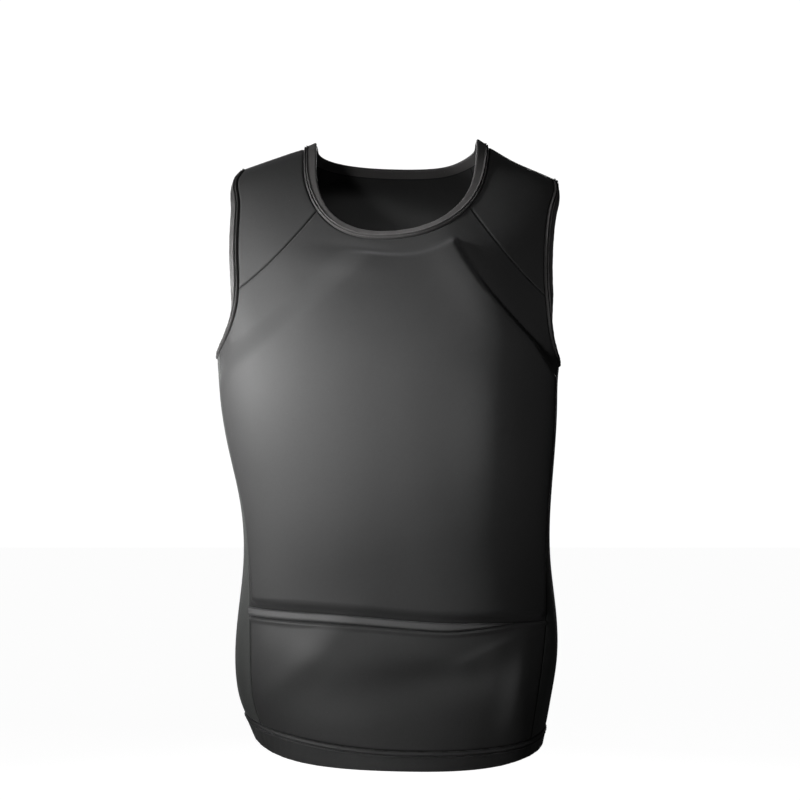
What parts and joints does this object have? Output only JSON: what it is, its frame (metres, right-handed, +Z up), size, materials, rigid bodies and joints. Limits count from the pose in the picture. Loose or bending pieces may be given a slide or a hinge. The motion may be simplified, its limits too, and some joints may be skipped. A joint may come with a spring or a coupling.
{
  "type": "body-armour tank top",
  "caption": "Fitted sleeveless knit top with soft armour sewn into the body, bound neck and armholes, a welted pocket mouth and a turned hem.",
  "frame": {"origin": "the middle of the neck opening, level with the top of its binding on the shoulders, where the garment hangs from the shoulders", "axes": "+Z up, -Y towards the front, +X towards the wearer's left"},
  "size_m": [0.3779, 0.2361, 0.6563],
  "materials": {
    "front_cloth": "smooth black stretch knit with a soft sheen",
    "lower_front_cloth": "smooth black stretch knit with a soft sheen",
    "welt_cloth": "folded black knit, overlocked along its top",
    "back_cloth": "smooth black stretch knit with a soft sheen",
    "side_cloth": "matt black stretch knit",
    "yoke_cloth": "matt black stretch knit",
    "binding_rib": "folded black knit binding with a topstitched rib",
    "hem_cloth": "turned black knit hem with two lines of stitching"
  },
  "bodies": {
    "root": {"front_panel": "front_cloth", "lower_front_panel": "lower_front_cloth", "pocket_welt": "welt_cloth", "back_panel": "back_cloth", "side_panel_left": "side_cloth", "side_panel_right": "side_cloth", "shoulder_yoke_left": "yoke_cloth", "shoulder_yoke_right": "yoke_cloth", "neck_binding": "binding_rib", "armhole_binding_left": "binding_rib", "armhole_binding_right": "binding_rib", "hem_band": "hem_cloth"}
  },
  "joints": []
}
